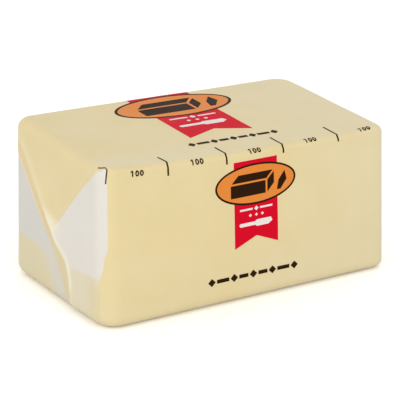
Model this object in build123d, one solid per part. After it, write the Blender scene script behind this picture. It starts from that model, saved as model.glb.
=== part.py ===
from build123d import *
import os

# A half-kilogram block of butter, shut in a folded parchment wrapper.
# X runs along the pack, Y from its printed front to its back, and Z up from the middle of the base.

# Driving sizes, in millimetres.
length = 123.8  # at the base
width = 71.9
height = 60.5  # at the middle of the top
edge_round = 5.0
end_lean = 1.3  # each end leans in by this much on its way up to the top
top_rise_to_back = 2.0  # the pressed top is a little out of level, across the pack
top_fall_to_right = 2.2  # and along it

# The envelope fold at each end. Each layer is flush along its hinge and stands proud at its free edge.
hinge_inset = 0.5  # from where the rounded edge begins to a layer's hinge line
point_behind_middle = 4.6  # the top flap's point, from the middle of the end
top_flap_proud = 0.9
front_tuck_reach = 27.5  # from the front side to the tuck's free edge
front_tuck_edge = 16.0  # how high that edge stands before it slants up to the point
front_tuck_proud = 0.6
bottom_flap_height = 17.0
bottom_flap_proud = 0.25

# The lap along the underside, where the two long edges of the wrapper meet.
lap_edge_behind_middle = 12.0
lap_step = 0.3

sink = 3.0  # how deep a layer's solid reaches into the block that it lies on
beyond = 5.0  # how far a cutting solid passes the surface that it cuts

front = -width / 2
back = width / 2


def top_height(x, y):
    """Height of the sloping top over a point of the base."""
    return height + top_rise_to_back * y / width - top_fall_to_right * x / length


def end_face(side, height_up):
    """How far out along X an end's flat face lies at some height; side is -1 on the left and 1 on the right."""
    return side * (length / 2 - end_lean * height_up / height)


def plane_through(a, b, c, outward):
    """The plane through three points, facing the outward direction."""
    a, b, c = Vector(*a), Vector(*b), Vector(*c)
    normal = (b - a).cross(c - a)
    if normal.dot(Vector(*outward)) < 0:
        normal = -normal
    return Plane(origin=a, z_dir=normal)


def pressed_block():
    """The pressed block in its paper, with all its edges rounded."""
    foot = length / 2
    ends = (-foot, foot)
    tall = max(top_height(x, y) for x in ends for y in (front, back)) + beyond
    outline = [(-foot, 0), (foot, 0), (end_face(1, tall), tall), (end_face(-1, tall), tall)]
    block = extrude(Plane.XZ * make_face(Polyline(*outline, close=True)), amount=width / 2, both=True)
    corners = [(x, y, top_height(x, y)) for x, y in ((-foot, front), (foot, front), (foot, back))]
    block = split(block, bisect_by=plane_through(*corners, (0, 0, 1)), keep=Keep.BOTTOM)
    return fillet(block.edges(), edge_round)


def layer(side, outline, hinge, tip, proud):
    """One folded layer on an end, from (y, z) points: flush along its hinge and proud at its tip."""
    start = abs(end_face(side, height)) - sink
    thick = length / 2 + proud + beyond - start
    prism = extrude(Plane.YZ.offset(side * start) * make_face(Polyline(*outline, close=True)), side * thick)
    on_face = [(end_face(side, z), y, z) for y, z in hinge]
    y, z = tip
    raised = (end_face(side, z) + side * proud, y, z)
    return split(prism, bisect_by=plane_through(*on_face, raised, (side, 0, 0)), keep=Keep.BOTTOM)


def end_folds(side):
    """The layers that show on one end, from the lowest one up."""
    front_hinge = front + edge_round + hinge_inset
    back_hinge = back - edge_round - hinge_inset
    bottom_hinge = edge_round + hinge_inset
    lowest_top = min(top_height(side * length / 2, y) for y in (front, back))
    top_hinge = lowest_top - edge_round - hinge_inset
    # Folded at 45 degrees from the top corners, the flap comes down by half the width.
    point = (point_behind_middle, height - width / 2)
    free_edge = front + front_tuck_reach

    flap_foot = [(front_hinge, bottom_hinge), (back_hinge, bottom_hinge)]
    flap_head = [(back_hinge, bottom_flap_height), (front_hinge, bottom_flap_height)]
    bottom_flap = layer(side, flap_foot + flap_head, flap_foot, flap_head[0], bottom_flap_proud)

    tuck_hinge = [(front_hinge, top_hinge), (free_edge, bottom_hinge)]
    tuck_edge = [(free_edge, front_tuck_edge), point]
    front_tuck = layer(side, tuck_hinge + tuck_edge, tuck_hinge, point, front_tuck_proud)

    flap_hinge = [(front_hinge, top_hinge), (back_hinge, top_hinge)]
    top_flap = layer(side, flap_hinge + [point], flap_hinge, point, top_flap_proud)
    return bottom_flap + front_tuck + top_flap


def lap_recess():
    """The thin wedge of space behind the lap's free edge, where the underside is one layer thinner."""
    hinge = back - edge_round - hinge_inset
    outline = [(lap_edge_behind_middle, -beyond), (lap_edge_behind_middle, lap_step), (hinge, 0), (hinge, -beyond)]
    return extrude(Plane.YZ * make_face(Polyline(*outline, close=True)), amount=length, both=True)


def wrapped_butter():
    """The whole shut pack, as one solid."""
    pack = pressed_block()
    for side in (-1, 1):
        pack += end_folds(side)
    return pack - lap_recess()


os.makedirs("parts", exist_ok=True)
export_step(wrapped_butter(), "parts/wrapped_butter.step")
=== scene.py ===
import math

import bpy
import bmesh
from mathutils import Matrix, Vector, noise
from mathutils.geometry import delaunay_2d_cdt


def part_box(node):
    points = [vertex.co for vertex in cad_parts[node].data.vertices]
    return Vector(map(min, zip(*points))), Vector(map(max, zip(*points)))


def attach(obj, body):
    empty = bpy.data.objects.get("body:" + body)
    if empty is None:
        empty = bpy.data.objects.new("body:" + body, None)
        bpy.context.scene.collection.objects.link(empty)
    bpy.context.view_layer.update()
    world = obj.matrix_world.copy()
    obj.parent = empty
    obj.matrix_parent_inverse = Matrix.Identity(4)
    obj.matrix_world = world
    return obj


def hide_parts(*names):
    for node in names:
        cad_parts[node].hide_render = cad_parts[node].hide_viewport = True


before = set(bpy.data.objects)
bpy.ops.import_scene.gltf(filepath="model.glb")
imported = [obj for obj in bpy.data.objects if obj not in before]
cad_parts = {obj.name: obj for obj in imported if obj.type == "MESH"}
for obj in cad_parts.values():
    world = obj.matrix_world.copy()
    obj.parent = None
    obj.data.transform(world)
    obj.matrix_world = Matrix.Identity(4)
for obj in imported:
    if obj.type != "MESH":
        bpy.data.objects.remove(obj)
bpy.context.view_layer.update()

scene = bpy.context.scene

# A block of butter in a folded parchment wrapper. Sizes are in millimetres, unless a name says otherwise.
MM = 0.001
FRONT, BACK, LEFT, RIGHT = -1, 1, -1, 1
block_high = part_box("wrapped_butter")[1]
fold_bulge = 0.37  # how far the folds on the ends stand out past the block's foot
wave_room = 0.1  # left at the front and back for the paper's waves
half_base = block_high[0] / MM - fold_bulge
half_width = block_high[1] / MM - wave_room
end_lean = 1.3  # each end leans in by this much on its way up
half_length = half_base - end_lean / 2  # halfway up
top_rise_to_back = 2.0
top_fall_to_right = 2.2
height = block_high[2] / MM - (top_rise_to_back + top_fall_to_right) / 2  # at the middle of the top
# Each end is a little askew: towards the back it lies this much further in, or out where less than 0, at the
# base and at the top.
skew = {LEFT: (-0.5, 0.5), RIGHT: (0.5, -0.5)}
# How far the upright edges are rounded, at the base and at the top.
crisp, plain, squashed = 4.5, 6.0, 8.5
upright_round = {(LEFT, FRONT): (squashed, plain), (LEFT, BACK): (plain, plain),
                 (RIGHT, FRONT): (crisp, crisp), (RIGHT, BACK): (plain, squashed)}
# How far the level edges are rounded, along the ends and along the front and back.
base_round = {"end": {LEFT: 5.0, RIGHT: 3.0}, "long": {FRONT: 4.5, BACK: 5.0}}
top_round = {"end": {LEFT: 3.5, RIGHT: 3.5}, "long": {FRONT: 2.0, BACK: 4.0}}
front_dip = 1.0  # the top's front edge is pressed down by this much, right of the middle
corner_rise = 1.0  # and its left corner is pinched up by this much
dip_back, dip_down = 17.0, 16.0  # how far back and down from that edge this shows
slow_wave, fine_wave = (0.14, 27.0), (0.05, 9.0)  # height and size of the waves in the paper
flat_from = 9.0  # the surface is flat or nearly so this far in from an edge
lap_edge = 12.0  # the underside lap's free edge, behind the middle
lap_step = 0.3
lap_sunk = 4.5  # within this of the pack's edges the lap is pressed into the paper under it
sliver = 1e-4  # a flat triangle under half this area, in square millimetres, is left out of a mesh


# ---------------------------------------------------------------- camera

def set_camera():
    """Looks down on the front and the left end, from well back."""
    turn, tip = math.radians(-31.13), math.radians(19.67)
    away = Vector((math.sin(turn) * math.cos(tip), -math.cos(turn) * math.cos(tip), math.sin(tip)))
    target = Vector((0.0, 0.0, 0.02834))
    data = bpy.data.cameras.new("camera")
    data.lens = 173.2
    data.sensor_width = 36.0
    data.clip_start, data.clip_end = 0.05, 20.0
    camera = bpy.data.objects.new("camera", data)
    scene.collection.objects.link(camera)
    camera.location = target + away * 0.7327
    camera.rotation_euler = away.to_track_quat("Z", "Y").to_euler()
    scene.camera = camera


# ---------------------------------------------------------------- the pack's shape

def smooth(value):
    """Eases from 0 to 1 as value goes from 0 to 1."""
    value = min(max(value, 0.0), 1.0)
    return value * value * (3 - 2 * value)


def blend(a, b, share):
    return a + (b - a) * share


def side_of(value):
    return -1 if value < 0 else 1


def rounded(q):
    """Takes a point of the sharp-edged block to the rounded one, with the way out from it."""
    x, y, z = q
    end, long = side_of(x), side_of(y)
    up = z / height
    upright = blend(*upright_round[end, long], up)
    inset = max(min(half_length - abs(x), half_width - abs(y)), 0.0)
    a, b = abs(x) - half_length + upright, abs(y) - half_width + upright
    if a > 0 and b > 0:
        shrink = max(a, b) / math.hypot(a, b)
        away = Vector((a, b)).normalized()
        plan = Vector((abs(x) - a + a * shrink, abs(y) - b + b * shrink))
    else:
        away = Vector((1, 0)) if half_length - abs(x) <= half_width - abs(y) else Vector((0, 1))
        plan = Vector((abs(x), abs(y)))
    level = base_round if up < 0.5 else top_round
    bend = min(level["end"][end] * away.x ** 2 + level["long"][long] * away.y ** 2, upright)
    pole = -1 if up < 0.5 else 1
    c, d = bend - inset, abs(z - height / 2) - height / 2 + bend
    out = Vector((away.x * end, away.y * long, 0.0))
    if d > 0 and c > 0:
        shrink = max(c, d) / math.hypot(c, d)
        plan -= away * (bend - c * shrink - inset)
        z = height / 2 + pole * (height / 2 - bend + d * shrink)
        out = (out * c + Vector((0, 0, pole * d))).normalized()
    elif d > 0:
        out = Vector((0.0, 0.0, pole))
    return Vector((plan.x * end, plan.y * long, z)), out


def pressed_down(p):
    """How far the top's front edge has given way at a point of the even block."""
    along = p.x / half_length
    dip = front_dip * smooth((along + 1) / 0.95) * smooth((1.08 - along) / 0.5)
    rise = corner_rise * smooth((-0.72 - along) / 0.28)
    near_front = 1 - smooth((p.y + half_width) / dip_back)
    return (dip - rise) * near_front * smooth((p.z - height + dip_down) / dip_down)


def settled(p):
    """Leans, tilts and skews the even block into the pressed one."""
    along, across, up = p.x / half_length, p.y / half_width, p.z / height
    x = along * (half_base - end_lean * up)
    for side in (LEFT, RIGHT):
        x -= side * (1 + side * along) / 2 * blend(*skew[side], up) * across
    z = p.z + up * (top_rise_to_back * across - top_fall_to_right * along) / 2 - pressed_down(p)
    return Vector((x, p.y, z))


def sag(p, out):
    """How far the paper stands off the even block: slow waves and, underneath, the room for the lap."""
    wave = slow_wave[0] * noise.noise(p / slow_wave[1])
    wave += fine_wave[0] * noise.noise(p / fine_wave[1] + Vector((5.0, 0.0, 0.0)))
    downward = max(0.0, -out.z)
    room = smooth((inside_lap(p.x, p.y) - lap_sunk) / 4.0)
    room *= 1 - smooth((p.y - lap_edge) / (half_width - flat_from - lap_edge))
    return wave * (1 - downward) ** 2 - lap_step * room * smooth(downward * 2 - 1)


def inside_lap(x, y):
    """Distance in from the ends and the front, round which the underside's lap is pressed flat."""
    return min(y + half_width, half_length - abs(x))


def on_pack(q, lift=0.0):
    """The place in metres, lift above the paper, for a point of the sharp-edged block."""
    p, out = rounded(q)
    return (settled(p) + out * (sag(p, out) + lift)) * MM


front_bend = top_round["long"][FRONT]
quarter = front_bend * math.pi / 4  # from the middle of the top front edge to where the flat begins


def past_bend(distance):
    """Distance from the sharp edge, for one along the paper from the middle of the rounded edge."""
    if distance >= quarter:
        return distance - quarter + front_bend
    return front_bend * (1 - math.tan(math.pi / 4 - distance / front_bend))


def on_sleeve(x, w, lift):
    """Front and top as one sheet: w is 0 at the middle of their shared edge, less down the front."""
    if w <= 0:
        return on_pack((x, -half_width, height - past_bend(-w)), lift)
    return on_pack((x, past_bend(w) - half_width, height), lift)


def up_front(z):
    """Where a height on the front lies on the sleeve sheet."""
    return z - height + front_bend - quarter


def over_top(y):
    """Where a distance back from the front edge lies on the sleeve sheet."""
    return y - front_bend + quarter


def on_end(side):
    """The end face as a sheet of (y, z)."""
    return lambda y, z, lift: on_pack((side * half_length, y, z), lift)


def underneath(x, y, lift):
    return on_pack((x, y, 0.0), lift)


# ---------------------------------------------------------------- meshes

def new_piece(name, verts, faces, material, sharp_angle=None):
    mesh = bpy.data.meshes.new(name)
    mesh.from_pydata([tuple(v) for v in verts], [], faces)
    work = bmesh.new()
    work.from_mesh(mesh)
    bmesh.ops.recalc_face_normals(work, faces=work.faces)
    work.to_mesh(mesh)
    work.free()
    mesh.polygons.foreach_set("use_smooth", [True] * len(mesh.polygons))
    if sharp_angle:
        mesh.set_sharp_from_angle(angle=math.radians(sharp_angle))
    mesh.materials.append(material)
    piece = bpy.data.objects.new(name, mesh)
    scene.collection.objects.link(piece)
    return piece


def write_map(piece, name, values):
    """A value for each vertex, which the paper's finish reads."""
    layer = piece.data.attributes.new(name, "FLOAT", "POINT")
    layer.data.foreach_set("value", values)


def dense(loop, step, closed=True):
    """The loop with points no further apart than step."""
    points = []
    ends = list(zip(loop, loop[1:] + loop[:1])) if closed else list(zip(loop, loop[1:]))
    for a, b in ends:
        count = max(1, math.ceil(math.dist(a, b) / step))
        points += [(blend(a[0], b[0], i / count), blend(a[1], b[1], i / count)) for i in range(count)]
    return points if closed else points + [loop[-1]]


def inside(point, loops):
    x, y = point
    crossings = 0
    for loop in loops:
        for (ax, ay), (bx, by) in zip(loop, loop[1:] + loop[:1]):
            if (ay > y) != (by > y) and x < ax + (y - ay) * (bx - ax) / (by - ay):
                crossings += 1
    return crossings % 2 == 1


def cut_sheet(loops, step, lines=()):
    """Flat triangles that fill the loops, holes left out, with inner points a step apart."""
    loops = [dense(list(loop), step) for loop in loops]
    points, edges = [], []
    for loop in loops:
        first = len(points)
        points += loop
        edges += [(first + i, first + (i + 1) % len(loop)) for i in range(len(loop))]
    for line in lines:
        first = len(points)
        line = dense(list(line), step, closed=False)
        points += line
        edges += [(first + i, first + i + 1) for i in range(len(line) - 1)]
    near = {(round(x / step), round(y / step)) for x, y in points}
    xs, ys = zip(*points)
    rows, columns = int((max(ys) - min(ys)) / step) + 1, int((max(xs) - min(xs)) / step) + 1
    for j in range(1, rows + 1):
        for i in range(columns + 1):
            spot = (min(xs) + (i + 0.5 * (j % 2)) * step, min(ys) + j * step)
            if (round(spot[0] / step), round(spot[1] / step)) not in near and inside(spot, loops):
                points.append(spot)
    found = delaunay_2d_cdt([Vector(p) for p in points], edges, [], 0, 1e-5)
    flat, triangles = found[0], found[2]
    kept = []
    for face in triangles:
        a, b, c = (flat[i] for i in face)
        if abs((b - a).cross(c - a)) > sliver and inside((a + b + c) / 3, loops):
            kept.append(tuple(face))
    used = sorted({i for face in kept for i in face})
    index = {old: new for new, old in enumerate(used)}
    return [tuple(flat[i]) for i in used], [tuple(index[i] for i in face) for face in kept]


def thick_sheet(flat, triangles, place, lift, depth):
    """A closed thin solid over flat triangles: its top at lift, its underside at depth."""
    count = len(flat)
    verts = [place(u, v, lift(u, v)) for u, v in flat] + [place(u, v, depth) for u, v in flat]
    faces = list(triangles) + [tuple(i + count for i in reversed(face)) for face in triangles]
    sides = dict.fromkeys(pair for face in triangles for pair in zip(face, face[1:] + face[:1]))
    faces += [(b, a, a + count, b + count) for a, b in sides if (b, a) not in sides]
    return verts, faces


# ---------------------------------------------------------------- the paper

def lines_along(half, middle, step):
    """Grid lines along one side of the block: even in the middle, closer towards its edges."""
    lines, at = [0.0], 0.18
    while lines[-1] < flat_from:
        lines.append(lines[-1] + at)
        at = min(at * 1.2, step)
    inner = half - lines[-1]
    count = math.ceil(2 * inner / step)
    even = [-inner + 2 * inner * i / count for i in range(1, count)]
    return [middle + v for v in [d - half for d in lines] + even + [half - d for d in reversed(lines)]]


def block_surface(step):
    """All six sides of the sharp-edged block as one closed grid."""
    xs = lines_along(half_length, 0.0, step)
    ys = lines_along(half_width, 0.0, step)
    zs = lines_along(height / 2, height / 2, step)
    points, index, faces = [], {}, []

    def spot(*q):
        key = tuple(round(c, 4) for c in q)
        if key not in index:
            index[key] = len(points)
            points.append(q)
        return index[key]

    def side(first, second, place):
        for a, b in zip(first, first[1:]):
            for c, d in zip(second, second[1:]):
                corners = ((a, c), (b, c), (b, d), (a, d))
                faces.append(tuple(spot(*place(*corner)) for corner in corners))

    for end in (LEFT, RIGHT):
        side(ys, zs, lambda y, z: (end * half_length, y, z))
        side(xs, zs, lambda x, z: (x, end * half_width, z))
    for level in (zs[0], zs[-1]):
        side(xs, ys, lambda x, y: (x, y, level))
    return points, faces


def smooth_line(places, count=4):
    """A smooth line through a few places, with count steps from each to the next."""
    padded = [places[0], *places, places[-1]]
    line = []
    for a, b, c, d in zip(padded, padded[1:], padded[2:], padded[3:]):
        for i in range(count):
            t = i / count
            line.append(tuple(q + t * (r - p) / 2 + t ** 2 * (2 * p - 5 * q + 4 * r - s) / 2
                              + t ** 3 * (3 * q - p - 3 * r + s) / 2 for p, q, r, s in zip(a, b, c, d)))
    return line + [places[-1]]


# The end fold's lines, as (y, z) on an end, each through the few places where the paper turns. The raised
# edge runs from the top back corner past the top flap's tip to the foot.
flap_tip = (6.5, 23.5)
flap_corner = -34.0  # where the flap's free edge starts at the top
fold_upper = smooth_line([(35.5, 51.0), (20.0, 36.5), flap_tip])
fold_lower = smooth_line([flap_tip, (-4.5, 10.0), (-7.5, 0.0)])
fold_foot = fold_upper + fold_lower[1:]
fold_crest = smooth_line([(36.5, 56.0), (25.0, 50.0), (7.0, 33.0), (-1.5, 24.0), (-9.0, 19.5),
                          (-12.0, 13.0), (-12.5, -0.5)])
flap_edge = smooth_line([flap_tip, (-2.0, 31.0), (-21.0, 50.0), (flap_corner, height)])
tuck_overlap = 3.5  # how far the front tuck runs on beneath the flap's free edge
tuck_overlap_foot = 29.0  # above this height
layer_root = -0.25  # a layer's underside lies this deep in the paper beneath it
all_printed = 5.0  # well inside the print, in millimetres
sleeve_step, fold_step, lap_grid, print_step = 1.25, 0.7, 2.0, 0.9  # how far apart the meshes' points are
bottom_flap_top = 17.2
flap_root = 2.0  # the sleeve is printed this far down behind the top flap
print_wraps_below = 31.5  # the print ends on the front above this, and runs on round the corner below it


def nearest(point, line):
    """Distance from a point to a line of points, less than 0 on the line's back side."""
    best, side = 1e9, 1.0
    px, py = point
    for (ax, ay), (bx, by) in zip(line, line[1:]):
        dx, dy = bx - ax, by - ay
        t = min(max(((px - ax) * dx + (py - ay) * dy) / (dx * dx + dy * dy), 0.0), 1.0)
        gap = math.hypot(px - ax - t * dx, py - ay - t * dy)
        if gap < best:
            best = gap
            side = 1.0 if dx * (py - ay) - dy * (px - ax) < 0 else -1.0
    return best * side


def across_band(y, z):
    """0 at the fold's foot line and 1 at its crest, and the distance past the crest."""
    crest = nearest((y, z), fold_crest)
    if crest > 0:
        return 1.0, crest
    foot = abs(nearest((y, z), fold_foot))
    return foot / max(foot - crest, 1e-6), 0.0


def edge_fade(y, z, reach=4.0):
    """0 at the middle of the rounded edges round an end, and 1 well inside them."""
    return smooth(min(half_width - abs(y), z, height - z) / reach)


def crest_height(z):
    """How far the folded edge stands up: most at the flap's tip."""
    if z > 28:
        return 0.15 + 1.05 * smooth((58 - z) / 30.0)
    return 1.2 - 0.35 * smooth((28 - z) / 24.0)


def pile(y, z, side):
    """Height of the folded layers over the paper beneath them."""
    share, past = across_band(y, z)
    body = 1 - 0.5 * smooth(past / 6.5)
    high = crest_height(z) * smooth(share) * body
    high *= smooth((y + half_width) / 20.0) * smooth((height - z) / 16.0)
    high += 0.13 * (1 - smooth((z - bottom_flap_top + 1.5) / 2.5)) * smooth(share)
    seed = Vector((side * 4.0, 0.0, 0.0))
    high += 0.09 * noise.noise(Vector((y, z, 0.0)) / 8.0 + seed) * smooth(share)
    high += 0.05 * abs(noise.noise(Vector((y + z, (y - z) / 3.0, 0.0)) / 5.0 - seed)) * smooth(share)
    return high


def tuck_lift(side):
    """Height of the front tuck, from its root at the upright edge to its folded edge."""
    return lambda y, z: (0.08 + pile(y, z, side)) * edge_fade(y, z) - 0.05 * (1 - edge_fade(y, z, 1.5))


def flap_lift(side):
    """Height of the top flap, a little over the tuck, and level with it at their shared edge."""
    def lift(y, z):
        over = 0.05 + 0.12 * smooth((abs(nearest((y, z), flap_edge)) - 0.5) / 3.5)
        fade = edge_fade(y, z)
        return (0.08 + 0.8 * over + pile(y, z, side)) * fade - 0.05 * (1 - edge_fade(y, z, 1.5))
    return lift


def printed_at(q):
    """Distance in millimetres inside the yellow print, less than 0 on bare paper, for a block point."""
    x, y, z = q
    from_end = half_length - abs(x)
    if y < 0.01 - half_width:
        return from_end + print_edge(z)
    if z > height - 0.01 or z < 0.01 or y > half_width - 0.01:
        return from_end + 0.3
    if from_end > 0.01:
        return min(from_end, all_printed)
    along_top = min(z - height + flap_root, y - flap_corner)
    down_back = min(y - half_width + flap_root, z - fold_foot[0][1])
    return max(along_top, down_back, tuck_printed(y, z))


def print_edge(z):
    """Where the front's print ends, round the upright edge: less than 0 on the front, more on the end."""
    below = print_wraps_below - z
    return -1.7 + 3.0 * smooth(below / 6.0) + 2.4 * smooth((below - 6.5) / 7.0)


def tuck_printed(y, z):
    return print_edge(z) - (y + half_width)


def beneath_tuck(y, z):
    """How much of the yellow layer beneath shows through the front tuck."""
    low = 1 - smooth((z - bottom_flap_top + 1.2 - 0.085 * max(-y - 8.0, 0.0)) / 2.6)
    corner = smooth((-y - 20.0) / 14.0) * (1 - smooth((z - 14.0) / 5.0))
    past = across_band(y, z)[1]
    return max(0.58 * low + 0.4 * corner, 0.88 * (1 - smooth((past - 0.2) / 0.8)) * (z < 27))


def beneath_back(y, z):
    """How much of the bottom flap shows through the back tuck."""
    low = 1 - smooth((z - bottom_flap_top + 1.5) / 3.0)
    return 0.6 * low * smooth((abs(nearest((y, z), fold_foot)) - 2.5) / 11.0) + 0.2 * low


def band_tint(y, z):
    """Strong on the slope of the fold: more orange where layers lie over each other, and darker with painted
    shade where the slope faces away.
    """
    share = across_band(y, z)[0]
    strong = 0.25 + 0.75 * smooth((z - 24.0) / 3.0) - 0.45 * smooth((z - 34.0) / 8.0)
    return smooth((share - 0.06) / 0.2) * (1 - smooth((share - 0.62) / 0.3)) * strong


def crest_shine(y, z):
    """The paper is paler where it is bent, partly whitened and partly a painted highlight: along the crest,
    round the flap's tip and at the fold's foot.
    """
    share, past = across_band(y, z)
    strong = 0.28 + 0.72 * (1 - smooth((z - 29.5) / 7.0)) - 0.65 * smooth((11.0 - z) / 4.0)
    wide = 1.35 + 0.85 * smooth((z - 26.0) / 3.0) + 2.7 * math.exp(-((z - 31.0) / 2.3) ** 2)
    crest = strong * smooth((share - 0.82) / 0.18) * math.exp(-(past / wide) ** 2)
    foot = 0.5 * (1 - smooth(share / 0.16)) * smooth((z - 24.0) / 6.0)
    return min(crest + foot, 1.0)


def top_flap_outline():
    return fold_upper + flap_edge[1:] + [(half_width, height)]


def front_tuck_outline():
    hidden = [(y + tuck_overlap, z) for y, z in reversed(flap_edge) if z > tuck_overlap_foot]
    return fold_lower + [(-half_width, 0.0), (-half_width, height)] + hidden


def write_finish(piece, points, printed, beneath, fold_layers_and_shade=None, shine=None, shade_and_sheen=None):
    """The maps that the paper's finish reads, each from a rule on the sheet's own points."""
    rules = {"printed": printed, "beneath": beneath, "fold_layers_and_shade": fold_layers_and_shade, "shine": shine, "shade_and_sheen": shade_and_sheen}
    for name, rule in rules.items():
        values = [rule(*point) if rule else 0.0 for point in points]
        write_map(piece, name, values)


def make_wrapper(paper):
    """The paper's main layer all round the block, with the back tuck at each end."""
    points, faces = block_surface(sleeve_step)
    piece = new_piece("wrapper_sleeve", [on_pack(q) for q in points], faces, paper)

    def on_an_end(x):
        return half_length - abs(x) < 0.01

    # On the bare end: darker, greyer paper, a single layer over the butter, with painted shade beside the
    # raised fold. On the top: a painted sheen that pales the yellow, most near the front.
    def shade_and_sheen_rule(x, y, z):
        from_front = y + half_width
        if on_an_end(x):
            return smooth((from_front - 2.0) / 3.0) if printed_at((x, y, z)) < 0 else 0.0
        if z < height - 0.01:
            return 0.0
        inwards = smooth(min(half_length - abs(x), half_width - abs(y)) / 3.0)
        return inwards * (0.2 + 0.8 * (1 - smooth((from_front - 9.0) / 8.0)))

    write_finish(piece, points, lambda x, y, z: printed_at((x, y, z)),
                 lambda x, y, z: beneath_back(y, z) if on_an_end(x) else 0.0, shade_and_sheen=shade_and_sheen_rule)
    return piece


def make_folds(paper):
    """The front tuck and the top flap on each end."""
    pieces = []
    for side, end in ((LEFT, "left"), (RIGHT, "right")):
        layers = [(f"front_tuck_{end}", front_tuck_outline(), tuck_lift(side), tuck_printed, beneath_tuck),
                  (f"top_flap_{end}", top_flap_outline(), flap_lift(side), lambda y, z: all_printed, None)]
        for name, outline, lift, printed, beneath in layers:
            flat, triangles = cut_sheet([outline], fold_step, [fold_crest])
            verts, faces = thick_sheet(flat, triangles, on_end(side), lift, layer_root)
            piece = new_piece(name, verts, faces, paper, sharp_angle=50)
            write_finish(piece, flat + flat, printed, beneath, band_tint, crest_shine)
            pieces.append(piece)
    return pieces


def make_lap(paper):
    """The outer long edge of the paper, lapped over the inner one underneath."""
    outline = [(-half_length, -half_width), (half_length, -half_width), (half_length, lap_edge),
               (-half_length, lap_edge)]
    flat, triangles = cut_sheet([outline], lap_grid)

    def lift(x, y):
        p, out = rounded((x, y, 0.0))
        sunk = 0.08 * (1 - smooth((inside_lap(x, y) - lap_sunk) / 2.0))
        return -sag(p, out) * smooth(max(0.0, -out.z) * 2 - 1) - sunk

    verts, faces = thick_sheet(flat, triangles, underneath, lift, -0.2)
    piece = new_piece("underside_lap", verts, faces, paper, sharp_angle=50)
    write_finish(piece, flat + flat, lambda x, y: all_printed, None)
    return piece


# ---------------------------------------------------------------- print

guide_start, guide_pitch = 1.95, 24.57  # from the left end
digit_height = 2.15


def oval(x, y, rx, ry, count=56):
    return [(x + rx * math.cos(2 * math.pi * i / count), y + ry * math.sin(2 * math.pi * i / count))
            for i in range(count)]


def bar(x, y, width, tall):
    return [(x - width / 2, y - tall / 2), (x + width / 2, y - tall / 2), (x + width / 2, y + tall / 2),
            (x - width / 2, y + tall / 2)]


def diamond(x, y, size):
    return [(x - size / 2, y), (x, y - size / 2), (x + size / 2, y), (x, y + size / 2)]


def moved(loop, x, y, scale=1.0, turn=0.0):
    """The loop scaled, turned by so many degrees and set down at a point."""
    c, s = scale * math.cos(math.radians(turn)), scale * math.sin(math.radians(turn))
    return [(x + c * u - s * v, y + s * u + c * v) for u, v in loop]


def digit_one(x, y, tall):
    """A plain upright 1, its foot at y."""
    stem, flag = 0.23 * tall, 0.24 * tall
    return [(x - stem / 2, y), (x + stem / 2, y), (x + stem / 2, y + tall), (x - stem / 2, y + tall),
            (x - stem / 2 - flag, y + tall - flag * 0.9), (x - stem / 2 - flag, y + tall - flag * 1.6),
            (x - stem / 2, y + tall - flag * 0.85)]


def digit_zero(x, y, tall):
    """The outer and inner line of a plain 0."""
    middle, count = y + tall / 2, 28
    return [oval(x, middle, 0.36 * tall, 0.5 * tall, count), oval(x, middle, 0.13 * tall, 0.27 * tall, count)]


def label_shapes():
    """The label's shapes by ink, from the middle of its foot, in its own millimetres."""
    ribbon = [(-9.35, 0.0), (0.0, 4.0), (9.35, 0.0), (9.35, 34.9), (-9.35, 34.9)]
    middle = 24.9
    plaque, rim = oval(0, middle, 16.6, 7.6), oval(0, middle, 17.4, 8.4)
    slab_front = [(-10.8, 20.2), (4.2, 20.2), (4.2, 25.2), (-10.8, 25.2)]
    slab_top = [(-10.4, 26.0), (4.6, 26.0), (7.4, 29.2), (-7.4, 29.2)]
    slab_end = [(5.0, 20.5), (7.9, 23.7), (7.9, 28.5), (5.0, 25.3)]
    pat = [(9.1, 20.6), (10.7, 20.6), (13.4, 24.2), (12.6, 28.0), (9.9, 24.4)]
    knife = [(-6.9, 8.3), (-0.6, 8.3), (0.2, 7.7), (5.2, 7.7), (6.9, 8.9), (6.3, 10.3), (0.2, 10.3),
             (-0.6, 9.7), (-6.9, 9.7), (-7.4, 9.0)]
    upper, lower = 14.9, 12.4  # the two rows of small ornaments
    return {
        "red": [[ribbon]],
        "orange": [[plaque]],
        "dark": [[rim, plaque], [slab_front], [slab_top], [slab_end], [pat]],
        "white": [[knife], [bar(-4.3, upper, 5.4, 0.75)], [bar(4.3, upper, 5.4, 0.75)],
                  [diamond(0, upper, 1.9)], *[[diamond(x, lower, 1.3)] for x in (-2.6, 0, 2.6)]],
    }


def rule_shapes(x, w):
    """A long ornamental rule of dashes and diamonds about a point."""
    dashes, gap, stone, thick = (5.2, 3.9, 3.9, 5.2), 0.6, 3.2, 1.5
    at = x - (sum(dashes) + 2 * gap * len(dashes) + stone * len(dashes)) / 2
    shapes = [[diamond(at, w, stone)]]
    for dash in dashes:
        shapes.append([bar(at + stone / 2 + gap + dash / 2, w, dash, thick)])
        at += stone + 2 * gap + dash
        shapes.append([diamond(at, w, stone)])
    return shapes


def strip(line, width):
    """An upright line of points as a strip of one width."""
    return [(x - width / 2, w) for x, w in line] + [(x + width / 2, w) for x, w in reversed(line)]


def guide_shapes():
    """The cutting guide along the top front edge: a tick at each portion's start and 100 between ticks."""
    shapes = []
    for i in range(5):
        x = -half_length + guide_start + guide_pitch * i
        line = [(x + 0.1, 0.8 * i - 5.1), (x, 0.0), (x + 0.3, 1.0), (x - 0.45, 0.9 * i + 5.2)]
        if i == 0:  # this one bends round the rounded corner
            line = [(x - 1.1, -5.0), (x - 0.2, 0.1), (x - 1.2, 5.0)]
        shapes.append([strip(line, 0.66 if i else 0.72)])
        middle, foot = x + guide_pitch / 2 - 0.35 + 0.22 * i, 1.25 * i - 0.14 * i ** 2 - 2.8
        shapes.append([digit_one(middle - 1.75, foot, digit_height)])
        shapes += [digit_zero(middle + over, foot, digit_height) for over in (0.1, 1.95)]
    return shapes


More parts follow.
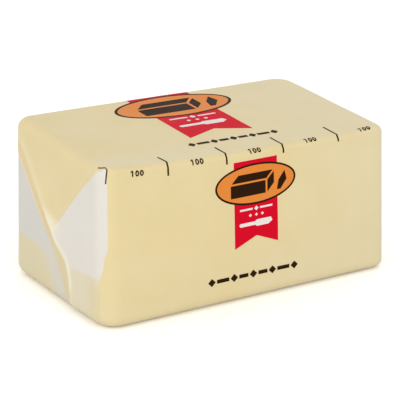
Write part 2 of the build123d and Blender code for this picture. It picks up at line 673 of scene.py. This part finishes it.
def make_print(inks):
    """One thin piece for each ink, laid on the front and the top."""
    layers = {name: [] for name in inks}
    for place in ((2.6, up_front(21.6), 1.0, 0.7), (-0.5, over_top(19.0), 1.45, 0.0)):
        for name, shapes in label_shapes().items():
            layers[name] += [[moved(loop, *place) for loop in shape] for shape in shapes]
    layers["dark"] += rule_shapes(1.1, up_front(10.35)) + rule_shapes(0.6, over_top(12.6))
    layers["dark"] += guide_shapes()
    lifts = {"red": 0.035, "orange": 0.055, "dark": 0.075, "white": 0.06}
    pieces = []
    for name, shapes in layers.items():
        verts, faces = [], []
        for loops in shapes:
            flat, triangles = cut_sheet(loops, print_step)
            more, sides = thick_sheet(flat, triangles, on_sleeve, lambda u, v: lifts[name], -0.05)
            faces += [tuple(i + len(verts) for i in face) for face in sides]
            verts += more
        pieces.append(new_piece(f"print_{name}", verts, faces, inks[name], sharp_angle=40))
    return pieces


# ---------------------------------------------------------------- finishes

def node(tree, kind, **settings):
    made = tree.nodes.new(kind)
    for name, value in settings.items():
        setattr(made, name, value)
    return made


def put(tree, target, value):
    """Feeds a socket from another socket, or sets it."""
    if hasattr(value, "is_linked"):
        tree.links.new(value, target)
    else:
        target.default_value = value


def calc(tree, operation, a, b=0.0):
    made = node(tree, "ShaderNodeMath", operation=operation)
    put(tree, made.inputs[0], a)
    put(tree, made.inputs[1], b)
    return made.outputs[0]


def mix(tree, share, a, b, how="MIX"):
    made = node(tree, "ShaderNodeMix", data_type="RGBA", blend_type=how)
    put(tree, made.inputs["Factor"], share)
    for socket, value in ((made.inputs[6], a), (made.inputs[7], b)):
        put(tree, socket, value if hasattr(value, "is_linked") else (*value, 1.0))
    return made.outputs[2]


def spread(tree, value, low, high, to_low=0.0, to_high=1.0):
    made = node(tree, "ShaderNodeMapRange")
    for i, v in enumerate((value, low, high, to_low, to_high)):
        put(tree, made.inputs[i], v)
    return made.outputs[0]


def cloud(tree, size, detail=3.0, stretch=(1.0, 1.0, 1.0)):
    """Soft noise with features about size millimetres across."""
    place = node(tree, "ShaderNodeTexCoord")
    scaled = node(tree, "ShaderNodeMapping")
    scaled.inputs["Scale"].default_value = stretch
    tree.links.new(place.outputs["Object"], scaled.inputs["Vector"])
    made = node(tree, "ShaderNodeTexNoise")
    tree.links.new(scaled.outputs[0], made.inputs["Vector"])
    made.inputs["Scale"].default_value = 1.0 / (size * MM)
    made.inputs["Detail"].default_value = detail
    return made.outputs["Fac"]


def parchment_group():
    """The paper's own look, which shows through the ink: clouding, fibres and a fine tooth."""
    group = bpy.data.node_groups.new("parchment", "ShaderNodeTree")
    for name in ("Clouding", "Fibre", "Tooth"):
        group.interface.new_socket(name, in_out="OUTPUT", socket_type="NodeSocketFloat")
    out = node(group, "NodeGroupOutput")
    put(group, out.inputs["Clouding"], cloud(group, 16.0, 4.0))
    fibres = calc(group, "ADD", cloud(group, 1.4, 2.0, (1.0, 3.5, 3.5)),
                  cloud(group, 0.9, 2.0, (4.0, 1.0, 1.0)))
    put(group, out.inputs["Fibre"], calc(group, "MULTIPLY", fibres, 0.5))
    slow, fine = cloud(group, 5.0, 2.0), cloud(group, 0.45, 2.0)
    put(group, out.inputs["Tooth"], calc(group, "ADD", calc(group, "MULTIPLY", slow, 0.7),
                                         calc(group, "MULTIPLY", fine, 0.3)))
    return group


def finish(name, rough, specular=0.4):
    """A new material with its Principled shader."""
    made = bpy.data.materials.new(name)
    made.use_nodes = True
    shader = made.node_tree.nodes["Principled BSDF"]
    shader.inputs["Roughness"].default_value = rough
    shader.inputs["Specular IOR Level"].default_value = specular
    return made, made.node_tree, shader


def use_parchment(tree, group):
    made = node(tree, "ShaderNodeGroup")
    made.node_tree = group
    return made


def bumped(tree, shader, height_value, strength, depth):
    bump = node(tree, "ShaderNodeBump")
    bump.inputs["Strength"].default_value = strength
    bump.inputs["Distance"].default_value = depth * MM
    put(tree, bump.inputs["Height"], height_value)
    tree.links.new(bump.outputs[0], shader.inputs["Normal"])


def paper_value(tree, name):
    return node(tree, "ShaderNodeAttribute", attribute_name=name).outputs["Fac"]


butter_yellow = (0.775, 0.64, 0.34)
butter_yellow_pale_and_sheen = (0.765, 0.655, 0.40)  # paler yellow, towards the right end and the foot, and as painted sheen on the top
bare_paper = (0.758, 0.715, 0.64)
# bare paper, greyer as a single layer over the butter, and darker with painted shade
bare_paper_grey_and_shaded = (0.67, 0.645, 0.585)
yellow_beneath = (0.725, 0.625, 0.355)
# more orange where layers lie over each other, and darker with painted shade on the fold's slope
fold_yellow_shaded = (0.79, 0.565, 0.29)
# paler where the paper is bent, partly a painted highlight
bent_paper_highlight = (0.92, 0.865, 0.67)


def paper_finish(group):
    made, tree, shader = finish("butter_parchment", 0.5, 0.3)
    shader.inputs["Sheen Weight"].default_value = 0.16
    shader.inputs["Sheen Roughness"].default_value = 0.4
    grain = use_parchment(tree, group)
    # darker, greyer bare paper on the back tuck: a single layer, with painted shade
    bare = mix(tree, paper_value(tree, "shade_and_sheen"), bare_paper, bare_paper_grey_and_shaded)
    bare = mix(tree, paper_value(tree, "beneath"), bare, yellow_beneath)
    printed = spread(tree, paper_value(tree, "printed"), -0.25, 0.25)
    place = node(tree, "ShaderNodeSeparateXYZ")
    tree.links.new(node(tree, "ShaderNodeTexCoord").outputs["Object"], place.inputs[0])
    # How far the yellow pales: towards the right end and the foot, at random with the clouding, and with a
    # painted sheen on the top.
    thin = calc(tree, "ADD", spread(tree, place.outputs["X"], 0.0, 0.062, 0.0, 0.9),
                spread(tree, place.outputs["Z"], 0.028, 0.004, 0.0, 0.6))
    # the painted sheen on the top pales the yellow
    thin = calc(tree, "ADD", thin, paper_value(tree, "shade_and_sheen"))
    thin = calc(tree, "ADD", thin, spread(tree, grain.outputs["Clouding"], 0.35, 0.65, -0.25, 0.25))
    yellow = mix(tree, thin, butter_yellow, butter_yellow_pale_and_sheen)
    colour = mix(tree, printed, bare, yellow)
    # the fold's slope: more orange where layers overlap, and darker with painted shade
    colour = mix(tree, calc(tree, "MULTIPLY", paper_value(tree, "fold_layers_and_shade"), 0.8), colour, fold_yellow_shaded)
    # paler bent paper, with a painted highlight along the crest and at the fold's foot
    colour = mix(tree, calc(tree, "MULTIPLY", paper_value(tree, "shine"), 0.85), colour, bent_paper_highlight)
    light = spread(tree, grain.outputs["Clouding"], 0.3, 0.7, 0.985, 1.015)
    light = calc(tree, "MULTIPLY", light, spread(tree, grain.outputs["Fibre"], 0.3, 0.7, 0.99, 1.01))
    scaled = node(tree, "ShaderNodeVectorMath", operation="SCALE")
    put(tree, scaled.inputs[0], colour)
    put(tree, scaled.inputs["Scale"], light)
    tree.links.new(scaled.outputs[0], shader.inputs["Base Color"])
    put(tree, shader.inputs["Roughness"], spread(tree, grain.outputs["Fibre"], 0.3, 0.7, 0.44, 0.56))
    bumped(tree, shader, grain.outputs["Tooth"], 0.25, 0.08)
    return made


def ink_finish(name, colour, group, gloss, rough=0.42):
    made, tree, shader = finish(f"{name}_ink", rough, gloss)
    grain = use_parchment(tree, group)
    speckle = spread(tree, grain.outputs["Fibre"], 0.2, 0.8, 0.94, 1.06)
    scaled = node(tree, "ShaderNodeVectorMath", operation="SCALE")
    put(tree, scaled.inputs[0], colour)
    put(tree, scaled.inputs["Scale"], speckle)
    tree.links.new(scaled.outputs[0], shader.inputs["Base Color"])
    uneven = spread(tree, grain.outputs["Clouding"], 0.3, 0.7, rough - 0.05, rough + 0.07)
    put(tree, shader.inputs["Roughness"], uneven)
    bumped(tree, shader, grain.outputs["Tooth"], 0.2, 0.08)
    return made


# ---------------------------------------------------------------- floor and light

floor_shade = 0.92
floor_shade_seen = 1.3  # so that the lit floor is white, and only the shadow shows


def set_floor():
    mesh = bpy.data.meshes.new("floor")
    level = -0.1 * MM  # just clear of the pack's flat base
    mesh.from_pydata([(-4, -4, level), (4, -4, level), (4, 4, level), (-4, 4, level)], [], [(0, 1, 2, 3)])
    floor = bpy.data.objects.new("floor", mesh)
    scene.collection.objects.link(floor)
    made = bpy.data.materials.new("floor_white")
    made.use_nodes = True
    tree = made.node_tree
    tree.nodes.clear()
    paint, out = node(tree, "ShaderNodeBsdfDiffuse"), node(tree, "ShaderNodeOutputMaterial")
    seen = node(tree, "ShaderNodeLightPath").outputs["Is Camera Ray"]
    shade = spread(tree, seen, 0.0, 1.0, floor_shade, floor_shade_seen)
    put(tree, paint.inputs["Color"], shade)
    tree.links.new(paint.outputs[0], out.inputs["Surface"])
    mesh.materials.append(made)


def area_light(name, turn, tip, distance, size, power):
    data = bpy.data.lights.new(name, "AREA")
    data.shape = "SQUARE"
    data.size = size
    data.energy = power
    lamp = bpy.data.objects.new(name, data)
    scene.collection.objects.link(lamp)
    turn, tip = math.radians(turn), math.radians(tip)
    away = Vector((math.sin(turn) * math.cos(tip), -math.cos(turn) * math.cos(tip), math.sin(tip)))
    lamp.location = away * distance
    lamp.rotation_euler = away.to_track_quat("Z", "Y").to_euler()


def set_light():
    world = bpy.data.worlds.new("soft_room")
    world.use_nodes = True
    tree = world.node_tree
    tree.nodes.clear()
    out = node(tree, "ShaderNodeOutputWorld")
    room, seen = node(tree, "ShaderNodeBackground"), node(tree, "ShaderNodeBackground")
    room.inputs["Color"].default_value = (1.0, 1.0, 1.0, 1.0)
    room.inputs["Strength"].default_value = 0.78
    seen.inputs["Strength"].default_value = 1.0
    seen.inputs["Color"].default_value = (1.0, 1.0, 1.0, 1.0)
    path = node(tree, "ShaderNodeLightPath")
    shown = calc(tree, "MAXIMUM", path.outputs["Is Camera Ray"], calc(
        tree, "MAXIMUM", path.outputs["Is Glossy Ray"], path.outputs["Is Transmission Ray"]))
    both = node(tree, "ShaderNodeMixShader")
    put(tree, both.inputs[0], shown)
    tree.links.new(room.outputs[0], both.inputs[1])
    tree.links.new(seen.outputs[0], both.inputs[2])
    tree.links.new(both.outputs[0], out.inputs["Surface"])
    scene.world = world
    area_light("key", -14.0, 18.0, 0.9, 0.45, 1.5)
    area_light("side", -84.0, 14.0, 0.9, 0.5, 1.2)
    area_light("overhead", 20.0, 80.0, 0.9, 0.6, 0.4)


# ---------------------------------------------------------------- the making

scene.view_settings.view_transform = "Standard"
set_camera()
parchment = parchment_group()
paper = paper_finish(parchment)
inks = {
    "red": ink_finish("red", (0.67, 0.003, 0.02), parchment, 0.03),
    "orange": ink_finish("orange", (0.775, 0.245, 0.038), parchment, 0.12),
    "dark": ink_finish("dark", (0.026, 0.010, 0.003), parchment, 0.03),
    "white": ink_finish("white", (0.84, 0.77, 0.73), parchment, 0.1),
}
pieces = [make_wrapper(paper), *make_folds(paper), make_lap(paper), *make_print(inks)]
for piece in pieces:
    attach(piece, "root")
    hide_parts("wrapped_butter")
set_floor()
set_light()
